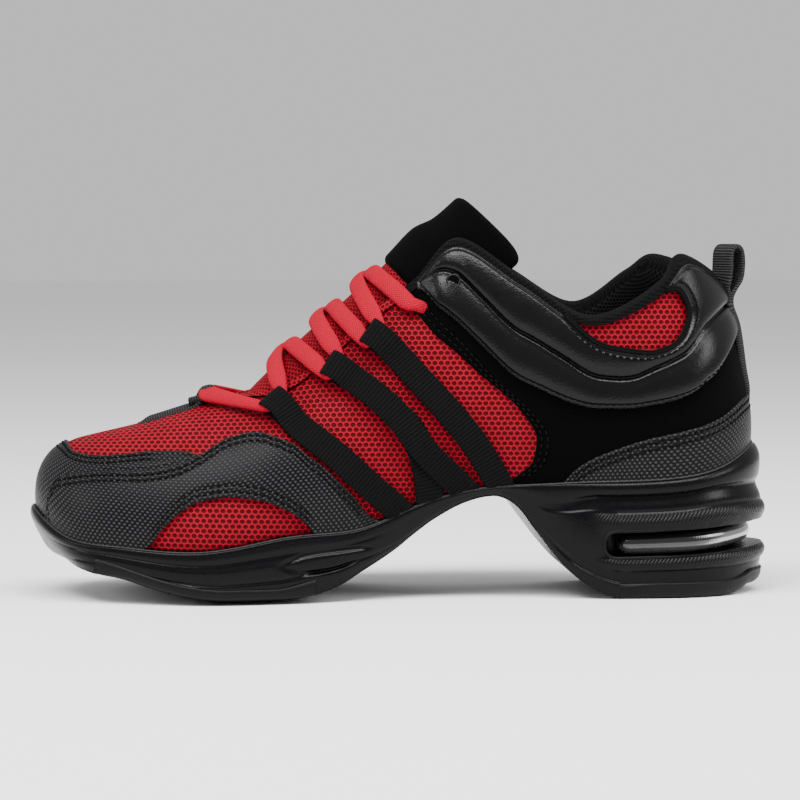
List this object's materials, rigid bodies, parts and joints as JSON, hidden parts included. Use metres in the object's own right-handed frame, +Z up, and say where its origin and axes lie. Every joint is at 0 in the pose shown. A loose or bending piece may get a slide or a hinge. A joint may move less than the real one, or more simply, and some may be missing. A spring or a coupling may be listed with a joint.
{
  "type": "dance shoe",
  "caption": "Low split-sole dance sneaker with a hollow mesh upper, embossed overlays, webbing lace loops, raised arch and windowed heel.",
  "frame": {"origin": "on the floor under the middle of the shoe's overall length and width", "axes": "-X towards the toe, +X towards the heel, -Y the outer side, +Y the inner side, +Z up"},
  "size_m": [0.262, 0.095, 0.139],
  "materials": {
    "sole_rubber": "satin black moulded rubber",
    "tread_rubber": "matte black rubber",
    "clear_tube": "clear glossy plastic",
    "red_mesh": "crimson open mesh",
    "red_lace": "soft woven red lace",
    "insole_cloth": "matte black cloth",
    "embossed_leather": "dark grey-black, embossed with small dots",
    "suede": "deep matte black suede",
    "glossy_leather": "padded, smooth and slightly glossy",
    "webbing": "black ribbed webbing",
    "grey_webbing": "dark grey ribbed webbing",
    "black_knit": "black ribbed knit",
    "eyelet_metal": "black painted ring"
  },
  "bodies": {
    "root": {"sole": "sole_rubber", "outsole_forefoot": "tread_rubber", "outsole_heel": "tread_rubber", "air_unit": "clear_tube", "insole": "insole_cloth", "upper": "red_mesh", "tongue": "red_mesh", "tongue_top": "black_knit", "toe_cap": "embossed_leather", "heel_counter": "embossed_leather", "side_band_lateral": "embossed_leather", "side_band_medial": "embossed_leather", "quarter_lateral": "suede", "quarter_medial": "suede", "collar_panel_lateral": "glossy_leather", "collar_panel_medial": "glossy_leather", "vamp_strip": "grey_webbing", "back_strip": "grey_webbing", "lace": "red_lace", "collar_binding": "black_knit", "eyelet_lateral": "eyelet_metal", "eyelet_medial": "eyelet_metal", "strap_1_lateral": "webbing", "strap_2_lateral": "webbing", "strap_2_leg_lateral": "webbing", "strap_3_lateral": "webbing", "strap_1_medial": "webbing", "strap_2_medial": "webbing", "strap_2_leg_medial": "webbing", "strap_3_medial": "webbing"}
  },
  "joints": []
}
